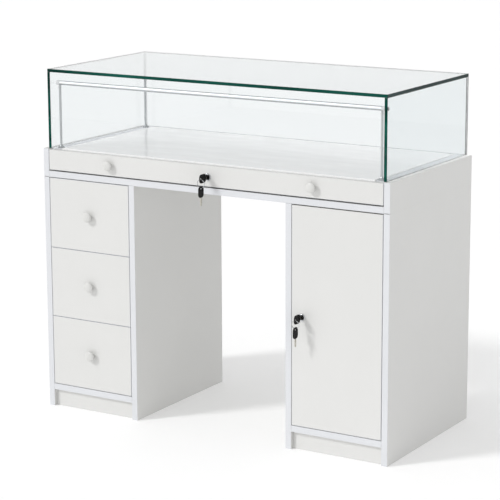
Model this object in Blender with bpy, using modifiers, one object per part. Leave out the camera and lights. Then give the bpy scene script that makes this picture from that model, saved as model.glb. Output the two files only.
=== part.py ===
"""A white melamine shop counter: a glass display case on a locking pull-out display drawer,
carried by a pedestal of three drawers and a locking cupboard with a kneehole between them.

Metres, +Z up. The staff side faces -Y and the customer side +Y. The origin is on the floor, at
the middle of the whole object's box. Lengths "from the left" start at the left outer face and
lengths "from the front" start at the plane of the drawer fronts.
"""

import math

import bmesh
import bpy
from mathutils import Vector

# Driving dimensions
WIDTH = 1.000
DEPTH = 0.450
CARCASS_HEIGHT = 0.688
CASE_HEIGHT = 0.205            # the glass case above the carcass, top plate included
PEDESTAL_HEIGHT = 0.614
PEDESTAL_WIDTH = 0.280
INNER_SIDE_DEPTH = 0.414       # the kneehole's side panels and the pedestal backs stop here
BOARD = 0.016                  # melamine board thickness
GLASS = 0.008
FIT = 0.0003                   # gap between pieces that touch
REVEAL = 0.002                 # gap round every inset front
EDGE_ROUND = 0.0008            # rounding of the edge banding
GLASS_ROUND = 0.0004           # polished arris of the glass

# Glass case
GLASS_SIDE_INSET = 0.0125
GLASS_FRONT_INSET = 0.007
GLASS_BACK_INSET = 0.001
LEDGE_REACH = 0.046            # inner edge of the side ledges, from the outer face
LEDGE_WEB = 0.018              # width of the block below the ledge that holds the runner
POST_RADIUS = 0.003
FOOT_RADIUS = 0.009
FOOT_HEIGHT = 0.011
FRONT_POST_INSET = 0.0365
FRONT_POST_SETBACK = 0.028
REAR_POST_INSET = 0.031
REAR_POST_SETBACK = 0.4225
TUBE_RADIUS = 0.0055
TUBE_AXIS_HEIGHT = 0.8565
TUBE_END_INSET = 0.0255

# Display drawer
DISPLAY_GAP = 0.004            # gap below the display drawer's front
DISPLAY_FRONT_TOP = 0.6862
DECK_TOP = 0.6892
DECK_SIDE_GAP = 0.001
DECK_BACK_GAP = 0.0015
RAIL = 0.012                   # side rails below the deck
RAIL_HEIGHT = 0.033
DISPLAY_KNOB_INSET = 0.206

# Pedestals
PLINTH_HEIGHT = 0.045
PLINTH_RECESS = 0.010
DRAWER_COUNT = 3
DRAWER_WALL = 0.012
DRAWER_BOTTOM = 0.006
DRAWER_BOX_LENGTH = 0.350
DRAWER_BOX_HEIGHT = 0.120
DRAWER_BOX_LIFT = 0.022        # underside of a box above the lower edge of its front
SLIDE_SPACE = 0.013            # room for a drawer slide at each side of a box
SHELF_HEIGHT = 0.305
SHELF_SETBACK = 0.045

# Runners
RUNNER_HEIGHT = 0.035
DISPLAY_RUNNER_HEIGHT = 0.027
RUNNER_DEPTH = 0.0075
RUNNER_STEEL = 0.0015
RUNNER_LENGTH = 0.350
DISPLAY_RUNNER_LENGTH = 0.400
RUNNER_SETBACK = 0.0185

# Knobs
KNOB_RADIUS = 0.013
KNOB_REACH = 0.016
KNOB_NECK_RADIUS = 0.0052

# Locks and keys
LOCK_COLLAR_RADIUS = 0.0095
LOCK_COLLAR_REACH = 0.003
LOCK_BODY_RADIUS = 0.008
LOCK_BODY_END = 0.021          # from the front plane, inwards
LOCK_PLUG_RADIUS = 0.0058
LOCK_BORE_CLEARANCE = 0.0003
LOCK_PLUG_END = 0.0255
CAM_LENGTH = 0.022
CAM_WIDTH = 0.011
CAM_THICKNESS = 0.002
KEY_THICKNESS = 0.0024
KEY_BLADE_WIDTH = 0.0062
KEY_BLADE_DEPTH = 0.012        # inside the plug
KEY_NECK = 0.006               # between the collar and the bow
KEY_BOW_LENGTH = 0.028
KEY_BOW_WIDTH = 0.022
KEY_BOW_ROUND = 0.008
KEY_HOLE_RADIUS = 0.0026
KEY_HOLE_INSET = 0.006         # hole centre from the end of the bow
KEYWAY_CLEARANCE = 0.0004
KEY_HOLE_PLAY = 0.0015         # the ring's wire lies this far below the hole's centre
RING_RADIUS = 0.010
RING_WIRE = 0.0007
DISPLAY_LOCK_HEIGHT = 0.657
DOOR_LOCK_HEIGHT = 0.3375
DOOR_LOCK_INSET = 0.0455       # from the cupboard's inner outer face

# Door hinges
CUP_RADIUS = 0.0172
CUP_BORE_RADIUS = 0.0175
CUP_DEPTH = 0.0108
CUP_WALL = 0.0012
CUP_INSET = 0.0225             # cup centre from the door's hinge edge
CUP_PLATE = 0.0012
HINGE_HEIGHTS = {"lower": 0.150, "upper": 0.525}
ARM_LENGTH = 0.052
ARM_SETBACK = 0.021
ARM_REACH = 0.0115
ARM_HEIGHT = 0.014

# Derived places
KEY_REACH = LOCK_COLLAR_REACH + KEY_NECK + KEY_BOW_LENGTH
FRONT_REACH = KEY_REACH - KEY_HOLE_INSET + KEY_BOW_WIDTH / 2   # the hanging key stands out most
FRONT = (FRONT_REACH - DEPTH) / 2        # Y of the front plane, so that the box is centred
TOTAL_HEIGHT = CARCASS_HEIGHT + CASE_HEIGHT
BASE_TOP = PEDESTAL_HEIGHT + BOARD
PEDESTAL_FLOOR = PLINTH_HEIGHT + BOARD
FRONTS_BOTTOM = PEDESTAL_FLOOR + REVEAL
FRONTS_TOP = PEDESTAL_HEIGHT - REVEAL
BACK_FACE = DEPTH - BOARD                # inner face of the upper back, from the front
PEDESTAL_BACK_FACE = INNER_SIDE_DEPTH - BOARD

COLOURS = {
    "melamine": ((0.86, 0.86, 0.84, 1.0), 0.38, 0.0),
    "deck_white": ((0.88, 0.88, 0.87, 1.0), 0.15, 0.0),
    "glass": ((0.75, 0.90, 0.85, 0.35), 0.03, 0.0),
    "knob_white": ((0.85, 0.85, 0.82, 1.0), 0.30, 0.0),
    "steel": ((0.62, 0.63, 0.65, 1.0), 0.30, 1.0),
    "zinc": ((0.70, 0.71, 0.73, 1.0), 0.35, 1.0),
    "post_metal": ((0.55, 0.57, 0.58, 1.0), 0.28, 1.0),
    "tube_white": ((0.92, 0.93, 0.93, 1.0), 0.35, 0.0),
    "key_black": ((0.03, 0.03, 0.03, 1.0), 0.45, 0.0),
    "drawer_white": ((0.83, 0.83, 0.81, 1.0), 0.45, 0.0),
}


# Scene and naming helpers

def clear_scene():
    for obj in list(bpy.data.objects):
        bpy.data.objects.remove(obj, do_unlink=True)


def new_collection(name):
    collection = bpy.data.collections.new(name)
    bpy.context.scene.collection.children.link(collection)
    return collection


def new_material(name):
    colour, roughness, metallic = COLOURS[name]
    material = bpy.data.materials.new(name)
    material.use_nodes = True
    shader = material.node_tree.nodes["Principled BSDF"]
    shader.inputs["Base Color"].default_value = colour
    shader.inputs["Roughness"].default_value = roughness
    shader.inputs["Metallic"].default_value = metallic
    shader.inputs["Alpha"].default_value = colour[3]
    return material


def place(x, y, z):
    """A point given from the left outer face, from the front plane and from the floor."""
    return Vector((x - WIDTH / 2, FRONT + y, z))


def mirrored(x_range):
    """The same span measured from the right outer face."""
    return (WIDTH - x_range[1], WIDTH - x_range[0])


def link(obj, collection, material=None):
    collection.objects.link(obj)
    if material:
        obj.data.materials.append(material)
    return obj


# Shape helpers

def bevel(obj, width, segments=1):
    modifier = obj.modifiers.new("rounded_edges", "BEVEL")
    modifier.width = width
    modifier.segments = segments
    modifier.limit_method = "ANGLE"
    modifier.angle_limit = math.radians(40)
    return modifier


def cube_object(name, xs, ys, zs):
    """A box between three spans, with its origin at its centre."""
    low = place(xs[0], ys[0], zs[0])
    high = place(xs[1], ys[1], zs[1])
    mesh = bpy.data.meshes.new(name)
    shape = bmesh.new()
    bmesh.ops.create_cube(shape, size=1.0)
    bmesh.ops.scale(shape, vec=high - low, verts=shape.verts)
    shape.to_mesh(mesh)
    shape.free()
    obj = bpy.data.objects.new(name, mesh)
    obj.location = (low + high) / 2
    return obj


def cylinder_object(name, radius, length, centre, turn=(math.pi / 2, 0, 0), sides=32):
    """A cylinder along Y, or along the axis that another turn gives."""
    mesh = bpy.data.meshes.new(name)
    shape = bmesh.new()
    bmesh.ops.create_cone(shape, cap_ends=True, segments=sides, radius1=radius,
                          radius2=radius, depth=length)
    shape.to_mesh(mesh)
    shape.free()
    obj = bpy.data.objects.new(name, mesh)
    obj.location = centre
    obj.rotation_euler = turn
    return obj


def turned_object(name, profile, centre, along_y=False, closed=False, steps=24):
    """A turned piece. The profile is (radius, height) down its outer side; closed makes a ring."""
    mesh = bpy.data.meshes.new(name)
    edges = [(i, i + 1) for i in range(len(profile) - 1)]
    if closed:
        edges.append((len(profile) - 1, 0))
    mesh.from_pydata([(radius, 0.0, height) for radius, height in profile], edges, [])
    obj = bpy.data.objects.new(name, mesh)
    obj.location = centre
    if along_y:
        obj.rotation_euler = (math.pi / 2, 0, 0)
    screw = obj.modifiers.new("turned", "SCREW")
    screw.axis = "Z"
    screw.angle = 2 * math.pi
    screw.steps = steps
    screw.render_steps = steps
    screw.use_merge_vertices = True
    screw.merge_threshold = 0.00005
    screw.use_smooth_shade = True
    return obj


def flat_plate(name, outlines, thickness):
    """A flat outline in local XY with its holes, thickened and made a welded mesh."""
    curve = bpy.data.curves.new(name, "CURVE")
    curve.dimensions = "2D"
    curve.fill_mode = "BOTH"
    curve.extrude = thickness / 2
    for outline in outlines:
        spline = curve.splines.new("POLY")
        spline.points.add(len(outline) - 1)
        for point, (x, y) in zip(spline.points, outline):
            point.co = (x, y, 0.0, 1.0)
        spline.use_cyclic_u = True
    holder = bpy.data.objects.new(name + "_outline", curve)
    bpy.context.scene.collection.objects.link(holder)
    graph = bpy.context.evaluated_depsgraph_get()
    mesh = bpy.data.meshes.new_from_object(holder.evaluated_get(graph))
    bpy.data.objects.remove(holder, do_unlink=True)
    mesh.name = name
    shape = bmesh.new()
    shape.from_mesh(mesh)
    bmesh.ops.remove_doubles(shape, verts=shape.verts, dist=0.00001)
    shape.to_mesh(mesh)
    shape.free()
    return bpy.data.objects.new(name, mesh)


def boolean(obj, other, operation="DIFFERENCE"):
    modifier = obj.modifiers.new(operation.lower(), "BOOLEAN")
    modifier.operation = operation
    modifier.solver = "EXACT"
    modifier.object = other
    return modifier


def arc(centre, radius, start, end, steps):
    """Points along an arc in degrees, both ends included."""
    angles = [math.radians(start + (end - start) * i / steps) for i in range(steps + 1)]
    return [(centre[0] + radius * math.cos(a), centre[1] + radius * math.sin(a)) for a in angles]


class Counter:
    """Holds the collections and materials and makes each sub-part."""

    def __init__(self):
        clear_scene()
        self.parts = new_collection("checkout_counter")
        self.cutters = new_collection("checkout_counter_cutters")
        self.materials = {name: new_material(name) for name in COLOURS}

    def add(self, obj, material):
        return link(obj, self.parts, self.materials[material])

    def cutter(self, obj):
        link(obj, self.cutters)
        obj.hide_render = True
        obj.display_type = "WIRE"
        return obj

    def board(self, name, xs, ys, zs, material="melamine", edge=EDGE_ROUND):
        obj = self.add(cube_object(name, xs, ys, zs), material)
        bevel(obj, edge)
        return obj

    def cut(self, obj, cutter):
        boolean(obj, self.cutter(cutter))

    def join(self, obj, other):
        boolean(obj, self.cutter(other), "UNION")

    # Upper module

    def upper_module(self):
        bottom = PEDESTAL_HEIGHT + FIT
        inner = (BOARD + FIT, WIDTH - BOARD - FIT)
        full = (0.0, DEPTH)
        left = (0.0, BOARD)
        self.board("upper_side_left", left, full, (bottom, CARCASS_HEIGHT))
        self.board("upper_side_right", mirrored(left), full, (bottom, CARCASS_HEIGHT))
        self.board("base_board", inner, full, (bottom, BASE_TOP))
        self.board("upper_back", inner, (BACK_FACE, DEPTH), (BASE_TOP + FIT, CARCASS_HEIGHT))
        self.ledge("ledge_left", lambda span: span)
        self.ledge("ledge_right", mirrored)

    def ledge(self, name, side):
        """A strip under the glass with a block below it that carries the display runner."""
        ys = (BOARD + REVEAL, BACK_FACE - FIT)
        obj = self.board(name, side((BOARD + FIT, LEDGE_REACH)), ys, (BASE_TOP + FIT, CARCASS_HEIGHT))
        below = side((BOARD + LEDGE_WEB, LEDGE_REACH + BOARD))
        self.cut(obj, cube_object(name + "_undercut", below, (0.0, DEPTH),
                                  (BASE_TOP - BOARD, CARCASS_HEIGHT - BOARD)))

    # Glass case

    def glass_case(self):
        ys = (GLASS_FRONT_INSET, DEPTH - GLASS_BACK_INSET)
        pane = (CARCASS_HEIGHT + FIT, TOTAL_HEIGHT - GLASS - FIT)
        left = (GLASS_SIDE_INSET, GLASS_SIDE_INSET + GLASS)
        between = (left[1] + FIT, WIDTH - left[1] - FIT)
        outer = (GLASS_SIDE_INSET, WIDTH - GLASS_SIDE_INSET)
        back = (ys[1] - GLASS, ys[1])
        self.board("glass_left", left, ys, pane, "glass", GLASS_ROUND)
        self.board("glass_right", mirrored(left), ys, pane, "glass", GLASS_ROUND)
        self.board("glass_back", between, back, pane, "glass", GLASS_ROUND)
        self.board("glass_top", outer, ys, (TOTAL_HEIGHT - GLASS, TOTAL_HEIGHT), "glass", GLASS_ROUND)

    def light(self):
        middle = place(WIDTH / 2, FRONT_POST_SETBACK, TUBE_AXIS_HEIGHT)
        tube = cylinder_object("led_tube", TUBE_RADIUS, WIDTH - 2 * TUBE_END_INSET, middle,
                               turn=(0, math.pi / 2, 0), sides=24)
        tube.data.shade_smooth()
        tube.data.set_sharp_from_angle(angle=math.radians(40))
        self.add(tube, "tube_white")
        front_top = TUBE_AXIS_HEIGHT - TUBE_RADIUS - FIT
        rear_top = TOTAL_HEIGHT - GLASS - FIT
        posts = (
            ("led_post_left", FRONT_POST_INSET, FRONT_POST_SETBACK, front_top),
            ("led_post_right", WIDTH - FRONT_POST_INSET, FRONT_POST_SETBACK, front_top),
            ("rear_post", REAR_POST_INSET, REAR_POST_SETBACK, rear_top),
        )
        for name, x, y, top in posts:
            base = CARCASS_HEIGHT + FIT
            self.add(turned_object(name, post_profile(top - base), place(x, y, base)), "post_metal")

    # Display drawer

    def display_drawer(self):
        span = (BOARD + REVEAL, WIDTH - BOARD - REVEAL)
        front = self.board("display_front", span, (0.0, BOARD),
                           (BASE_TOP + DISPLAY_GAP, DISPLAY_FRONT_TOP))
        self.lock_bore(front, WIDTH / 2, DISPLAY_LOCK_HEIGHT)
        deck = (LEDGE_REACH + DECK_SIDE_GAP, WIDTH - LEDGE_REACH - DECK_SIDE_GAP)
        ys = (BOARD + FIT, BACK_FACE - DECK_BACK_GAP)
        underside = DECK_TOP - BOARD
        tray = self.board("display_deck", deck, ys, (underside - RAIL_HEIGHT, DECK_TOP), "deck_white")
        self.cut(tray, cube_object("deck_hollow", (deck[0] + RAIL, deck[1] - RAIL), (-BOARD, DEPTH),
                                   (BASE_TOP, underside)))
        for side, x in (("left", DISPLAY_KNOB_INSET), ("right", WIDTH - DISPLAY_KNOB_INSET)):
            height = (BASE_TOP + DISPLAY_GAP + DISPLAY_FRONT_TOP) / 2
            self.knob("display_knob_" + side, x, height)
        middle = underside - RAIL_HEIGHT / 2
        web = BOARD + LEDGE_WEB + FIT
        for side, x, facing in (("left", web, 1), ("right", WIDTH - web, -1)):
            self.runner("display_runner_" + side, x, facing, middle, DISPLAY_RUNNER_LENGTH,
                        DISPLAY_RUNNER_HEIGHT)

    def knob(self, name, x, z):
        self.add(turned_object(name, knob_profile(), place(x, -FIT, z), along_y=True), "knob_white")

    def runner(self, name, x, facing, z, length, height):
        """The steel channel of a drawer slide that is screwed to the carcass."""
        xs = sorted((x, x + facing * RUNNER_DEPTH))
        inner = sorted((x + facing * RUNNER_STEEL, x + facing * 2 * RUNNER_DEPTH))
        ys = (RUNNER_SETBACK, RUNNER_SETBACK + length)
        half = height / 2
        obj = self.add(cube_object(name, xs, ys, (z - half, z + half)), "zinc")
        hollow = half - RUNNER_STEEL
        self.cut(obj, cube_object(name + "_channel", inner, (0.0, DEPTH), (z - hollow, z + hollow)))

    # Pedestals

    def pedestal(self, side_name, side):
        """side turns a span from the outer face into one from the left outer face."""
        outer = (0.0, BOARD)
        inner = (PEDESTAL_WIDTH - BOARD, PEDESTAL_WIDTH)
        between = side((BOARD + FIT, PEDESTAL_WIDTH - BOARD - FIT))
        tall = (0.0, PEDESTAL_HEIGHT)
        name = side_name + "_pedestal_"
        self.board(name + "outer_side", side(outer), (0.0, DEPTH), tall)
        self.board(name + "inner_side", side(inner), (0.0, INNER_SIDE_DEPTH), tall)
        self.board(name + "bottom", between, (0.0, PEDESTAL_BACK_FACE - FIT),
                   (PLINTH_HEIGHT, PEDESTAL_FLOOR))
        self.board(name + "plinth", between, (PLINTH_RECESS, PLINTH_RECESS + BOARD),
                   (0.0, PLINTH_HEIGHT - FIT))
        self.board(name + "back", between, (PEDESTAL_BACK_FACE, INNER_SIDE_DEPTH),
                   (PLINTH_HEIGHT, PEDESTAL_HEIGHT - FIT))

    def drawers(self):
        span = (BOARD + REVEAL, PEDESTAL_WIDTH - BOARD - REVEAL)
        height = (FRONTS_TOP - FRONTS_BOTTOM - (DRAWER_COUNT - 1) * REVEAL) / DRAWER_COUNT
        box_x = (BOARD + SLIDE_SPACE, PEDESTAL_WIDTH - BOARD - SLIDE_SPACE)
        box_y = (BOARD + FIT, BOARD + FIT + DRAWER_BOX_LENGTH)
        for index, level in enumerate(("bottom", "middle", "top")):
            low = FRONTS_BOTTOM + index * (height + REVEAL)
            self.board("drawer_front_" + level, span, (0.0, BOARD), (low, low + height))
            self.drawer_box("drawer_box_" + level, box_x, box_y, low + DRAWER_BOX_LIFT)
            self.knob("drawer_knob_" + level, PEDESTAL_WIDTH / 2, low + height / 2)
            middle = low + DRAWER_BOX_LIFT + DRAWER_BOX_HEIGHT / 3
            sides = (("left", BOARD + FIT, 1), ("right", PEDESTAL_WIDTH - BOARD - FIT, -1))
            for side, x, facing in sides:
                self.runner("runner_" + level + "_" + side, x, facing, middle, RUNNER_LENGTH,
                            RUNNER_HEIGHT)

    def drawer_box(self, name, xs, ys, bottom):
        obj = self.board(name, xs, ys, (bottom, bottom + DRAWER_BOX_HEIGHT), "drawer_white")
        inside_x = (xs[0] + DRAWER_WALL, xs[1] - DRAWER_WALL)
        inside_y = (ys[0] + DRAWER_WALL, ys[1] - DRAWER_WALL)
        self.cut(obj, cube_object(name + "_inside", inside_x, inside_y,
                                  (bottom + DRAWER_BOTTOM, bottom + 2 * DRAWER_BOX_HEIGHT)))

    def cupboard(self):
        left = WIDTH - PEDESTAL_WIDTH + BOARD
        right = WIDTH - BOARD
        self.board("cupboard_shelf", (left + REVEAL / 2, right - REVEAL / 2),
                   (SHELF_SETBACK, PEDESTAL_BACK_FACE - FIT), (SHELF_HEIGHT, SHELF_HEIGHT + BOARD))
        door_edge = right - REVEAL
        door = self.board("cupboard_door", (left + REVEAL, door_edge), (0.0, BOARD),
                          (FRONTS_BOTTOM, FRONTS_TOP))
        lock_x = WIDTH - PEDESTAL_WIDTH + DOOR_LOCK_INSET
        self.lock_bore(door, lock_x, DOOR_LOCK_HEIGHT)
        cup_x = door_edge - CUP_INSET
        for level, height in HINGE_HEIGHTS.items():
            bore = cylinder_object("cup_bore_" + level, CUP_BORE_RADIUS, 2 * CUP_DEPTH + 2 * FIT,
                                   place(cup_x, BOARD, height))
            self.cut(door, bore)
            self.hinge(level, cup_x, right, height)

    def hinge(self, level, cup_x, side_face, height):
        """A cup let into the back of the door, and the arm on the side panel that meets it."""
        rim = CUP_RADIUS + 0.003
        rear = BOARD + FIT + CUP_PLATE
        depth = CUP_DEPTH + FIT + CUP_PLATE
        profile = [
            (0.0, depth), (CUP_RADIUS, depth), (CUP_RADIUS, CUP_PLATE), (rim, CUP_PLATE), (rim, 0.0),
            (CUP_RADIUS - CUP_WALL, 0.0), (CUP_RADIUS - CUP_WALL, depth - CUP_WALL),
            (0.0, depth - CUP_WALL),
        ]
        cup = turned_object("hinge_cup_" + level, profile, place(cup_x, rear, height), along_y=True)
        self.add(cup, "zinc")
        xs = (side_face - FIT - ARM_REACH, side_face - FIT)
        ys = (ARM_SETBACK, ARM_SETBACK + ARM_LENGTH)
        arm = self.add(cube_object("hinge_arm_" + level, xs, ys,
                                   (height - ARM_HEIGHT / 2, height + ARM_HEIGHT / 2)), "zinc")
        bevel(arm, 2 * EDGE_ROUND, 2)

    # Locks

    def lock_bore(self, panel, x, z):
        bore = cylinder_object(panel.name + "_lock_bore", LOCK_BODY_RADIUS + LOCK_BORE_CLEARANCE,
                               4 * BOARD, place(x, BOARD / 2, z))
        self.cut(panel, bore)

    def lock(self, name, x, z, cam_direction):
        self.lock_housing(name + "_lock_housing", x, z)
        self.lock_plug(name + "_lock_plug", x, z, cam_direction)
        self.key(name + "_key", x, z)
        self.spare_key(name + "_spare_key", x, z)

    def lock_housing(self, name, x, z):
        """A collar on the face and a barrel through the panel, as one turned ring."""
        collar = LOCK_COLLAR_REACH
        bore = LOCK_PLUG_RADIUS + LOCK_BORE_CLEARANCE
        profile = [
            (bore, collar), (LOCK_COLLAR_RADIUS - 0.001, collar), (LOCK_COLLAR_RADIUS, collar - 0.001),
            (LOCK_COLLAR_RADIUS, FIT), (LOCK_BODY_RADIUS, FIT), (LOCK_BODY_RADIUS, -LOCK_BODY_END),
            (bore, -LOCK_BODY_END),
        ]
        housing = turned_object(name, profile, place(x, 0.0, z), along_y=True, closed=True)
        self.add(housing, "steel")

    def lock_plug(self, name, x, z, cam_direction):
        """The turning plug with its keyway and, behind the panel, its cam."""
        profile = [
            (0.0, LOCK_COLLAR_REACH - FIT), (LOCK_PLUG_RADIUS, LOCK_COLLAR_REACH - FIT),
            (LOCK_PLUG_RADIUS, -LOCK_PLUG_END), (0.0, -LOCK_PLUG_END),
        ]
        plug = self.add(turned_object(name, profile, place(x, 0.0, z), along_y=True), "steel")
        ys = (LOCK_PLUG_END - CAM_THICKNESS - FIT, LOCK_PLUG_END - FIT)
        half = CAM_WIDTH / 2
        if cam_direction == "right":
            cam = cube_object(name + "_cam", (x, x + CAM_LENGTH), ys, (z - half, z + half))
        else:
            cam = cube_object(name + "_cam", (x - half, x + half), ys, (z - CAM_LENGTH, z))
        self.join(plug, cam)
        half_slot = KEY_THICKNESS / 2 + KEYWAY_CLEARANCE
        half_width = KEY_BLADE_WIDTH / 2 + KEYWAY_CLEARANCE
        slot = cube_object(name + "_keyway", (x - half_slot, x + half_slot),
                           (-BOARD, KEY_BLADE_DEPTH + KEYWAY_CLEARANCE),
                           (z - half_width, z + half_width))
        self.cut(plug, slot)

    def key(self, name, x, z):
        """The key in the lock. Its bow stands in the upright plane through the lock's axis."""
        obj = flat_plate(name, key_outlines(0.0), KEY_THICKNESS)
        obj.location = place(x, 0.0, z)
        obj.rotation_euler = (math.pi / 2, 0.0, -math.pi / 2)
        self.add(obj, "key_black")

    def spare_key(self, name, x, z):
        """A split ring through the key's bow, with the spare key hanging from the ring."""
        hole = KEY_REACH - KEY_HOLE_INSET
        ring_z = z - KEY_HOLE_PLAY - RING_RADIUS
        spare_hole_z = ring_z - RING_RADIUS - KEY_HOLE_RADIUS + RING_WIRE / 2
        obj = flat_plate(name, key_outlines(hole), KEY_THICKNESS)
        obj.location = place(x, -hole, spare_hole_z)
        obj.rotation_euler = (0.0, -math.pi / 2, 0.0)
        self.add(obj, "key_black")
        wire = arc((RING_RADIUS, 0.0), RING_WIRE, 90, -225, 7)
        ring = turned_object(name + "_ring", wire, place(x, -hole, ring_z), along_y=True,
                             closed=True, steps=36)
        self.join(obj, ring)


# Outlines and profiles

def key_outlines(offset):
    """The key's outline and bow hole: blade tip at -X, bow at +X, with X = offset moved to 0."""
    half_blade = KEY_BLADE_WIDTH / 2
    bow_start = LOCK_COLLAR_REACH + KEY_NECK
    low = bow_start + KEY_BOW_ROUND
    high = KEY_REACH - KEY_BOW_ROUND
    side = KEY_BOW_WIDTH / 2 - KEY_BOW_ROUND
    outline = [(-KEY_BLADE_DEPTH, half_blade / 3), (-KEY_BLADE_DEPTH, -half_blade / 3),
               (-KEY_BLADE_DEPTH + half_blade, -half_blade), (bow_start, -half_blade)]
    outline += arc((low, -side), KEY_BOW_ROUND, 200, 270, 4)
    outline += arc((high, -side), KEY_BOW_ROUND, 270, 360, 5)
    outline += arc((high, side), KEY_BOW_ROUND, 0, 90, 5)
    outline += arc((low, side), KEY_BOW_ROUND, 90, 160, 4)
    outline += [(bow_start, half_blade), (-KEY_BLADE_DEPTH + half_blade, half_blade)]
    hole = arc((KEY_REACH - KEY_HOLE_INSET, 0.0), KEY_HOLE_RADIUS, 0, 345, 23)
    return [[(x - offset, y) for x, y in points] for points in (outline, hole)]


def knob_profile():
    """A mushroom knob: domed cap, hollowed underside, slim neck and a flared base."""
    rim_height = KNOB_REACH * 0.66
    crown = [(KNOB_RADIUS * math.cos(a), rim_height + (KNOB_REACH - rim_height) * math.sin(a))
             for a in (math.radians(90 - 15 * i) for i in range(7))]
    fall = KNOB_REACH * 0.22
    width = KNOB_RADIUS - KNOB_NECK_RADIUS
    under = [(KNOB_NECK_RADIUS + width * math.cos(a), rim_height - fall * math.sin(a))
             for a in (math.radians(22.5 * i) for i in range(1, 5))]
    base = KNOB_NECK_RADIUS * 1.45
    foot = [(KNOB_NECK_RADIUS, KNOB_REACH * 0.16), (base, KNOB_REACH * 0.05), (base, 0.0), (0.0, 0.0)]
    crown[0] = (0.0, KNOB_REACH)
    return crown + under + foot


def post_profile(height):
    """A slim post that flares into a round foot."""
    brim = 0.0012
    flare = []
    for i in range(6):
        t = i / 5
        radius = POST_RADIUS + (FOOT_RADIUS - POST_RADIUS) * t ** 2.5
        flare.append((radius, FOOT_HEIGHT + (brim - FOOT_HEIGHT) * t))
    return [(0.0, height), (POST_RADIUS, height)] + flare + [(FOOT_RADIUS, 0.0), (0.0, 0.0)]


def main():
    counter = Counter()
    counter.upper_module()
    counter.glass_case()
    counter.light()
    counter.display_drawer()
    counter.pedestal("left", lambda span: span)
    counter.pedestal("right", mirrored)
    counter.drawers()
    counter.cupboard()
    counter.lock("display", WIDTH / 2, DISPLAY_LOCK_HEIGHT, "right")
    door_lock_x = WIDTH - PEDESTAL_WIDTH + DOOR_LOCK_INSET
    counter.lock("cupboard", door_lock_x, DOOR_LOCK_HEIGHT, "down")


main()
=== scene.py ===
import math

import bmesh
import bpy
from mathutils import Euler, Matrix, Vector


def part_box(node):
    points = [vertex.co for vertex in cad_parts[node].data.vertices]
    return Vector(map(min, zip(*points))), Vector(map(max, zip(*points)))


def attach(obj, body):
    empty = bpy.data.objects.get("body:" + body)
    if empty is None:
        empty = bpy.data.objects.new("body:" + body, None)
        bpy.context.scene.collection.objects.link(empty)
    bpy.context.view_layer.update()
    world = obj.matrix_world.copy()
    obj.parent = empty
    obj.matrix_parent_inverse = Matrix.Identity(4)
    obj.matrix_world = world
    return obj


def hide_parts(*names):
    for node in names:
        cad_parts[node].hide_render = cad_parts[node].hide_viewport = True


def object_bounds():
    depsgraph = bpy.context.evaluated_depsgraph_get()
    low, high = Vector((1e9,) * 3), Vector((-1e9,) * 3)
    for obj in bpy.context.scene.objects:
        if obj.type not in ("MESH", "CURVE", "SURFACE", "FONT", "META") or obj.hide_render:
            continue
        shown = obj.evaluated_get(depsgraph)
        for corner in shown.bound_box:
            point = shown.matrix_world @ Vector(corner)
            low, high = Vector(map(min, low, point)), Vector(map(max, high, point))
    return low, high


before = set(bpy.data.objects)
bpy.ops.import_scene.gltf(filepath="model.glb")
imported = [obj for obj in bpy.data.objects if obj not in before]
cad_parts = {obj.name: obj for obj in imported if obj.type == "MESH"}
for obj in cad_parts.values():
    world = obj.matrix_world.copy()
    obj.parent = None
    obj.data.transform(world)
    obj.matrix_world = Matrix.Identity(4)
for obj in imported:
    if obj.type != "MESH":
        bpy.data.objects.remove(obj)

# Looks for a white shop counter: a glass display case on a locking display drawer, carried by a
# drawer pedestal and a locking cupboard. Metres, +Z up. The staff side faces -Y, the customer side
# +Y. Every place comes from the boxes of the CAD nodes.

cad_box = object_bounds()

# Camera, studio and light
CAMERA_PLACE = (2.4839, -4.1127, 1.4993)
CAMERA_TURN = 0.5438  # radians to the left of straight ahead
CAMERA_TILT = 0.2049  # radians below the horizon
CAMERA_ROLL = -0.0037
CAMERA_LENS = 138.4
CAMERA_SENSOR = 36.0
CAMERA_SHIFT = -0.05
KEY_DIRECTION = (0.84, 1.0, -0.94)  # from the upper left of the staff side
KEY_SOFTNESS = math.radians(11)
KEY_STRENGTH = 1.32
SKY = ((0.10, 1.0), (0.32, 0.46), (1.0, 0.86))  # brightness by the height of the direction
FLOOR_GLOW = 0.15
FLOOR_RADIUS = 60.0
FLOOR_SIDES = 96
FLOOR_DROP = 0.0002  # the floor lies this far below the feet

# Boards
BAND = 0.0009  # thickness of the edge banding
BAND_ROUND = 0.0004
CORE_ROUND = 0.00025  # hairline between a board's face and its banding
BAND_SEAM = 0.0011  # the banding stops this far short of the joint between the modules
SEAM_DEPTH = 0.006  # shadow gap sawn into the front of that joint
SEAM_SKIN = 0.0015  # it stops this far from the board's faces
PROUD = 0.0004  # the banding of a front stands this far out of the board's CAD edge
FIT = 0.0003  # gap between pieces that touch
LOCK_BORE = 0.0083  # radius of the hole for a lock
CUP_BORE = 0.0175  # radius of the hole for a hinge cup
BORE_SIDES = 48

# Meshes
WELD = 0.000004  # points this close become one
SHARP = 40  # degrees between two faces that meet in a sharp edge

# Glass
ARRIS = 0.0006  # ground and polished edge of a pane
GLASS_SHARP = 20
ARRIS_FACE = 0.3  # a face that leans this far towards an open edge belongs to it

# Light tube
TUBE_CAP_LENGTH = 0.012
TUBE_SHELL = 0.0005  # thickness of the alloy cradle and spine
TUBE_SLACK = 0.00005  # between the shell and the diffuser
CRADLE_SPAN = (192, 348)  # degrees round the tube
SPINE_SPAN = (62, 118)
CAP_ROUND_SHARE = 0.35  # radius of the cap's soft end over the tube's
TUBE_SIDES = 48
SHELL_STEPS = 24
SHELL_ROUND_SHARE = 0.2
CAP_GROOVE = 0.0004
CAP_GROOVE_PLACES = (0.2, 0.23, 0.3, 0.33)  # along the cap, as shares of its length
BUTTON_FACE = 0.8  # a face that leans this far along the tube belongs to the end button

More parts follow.
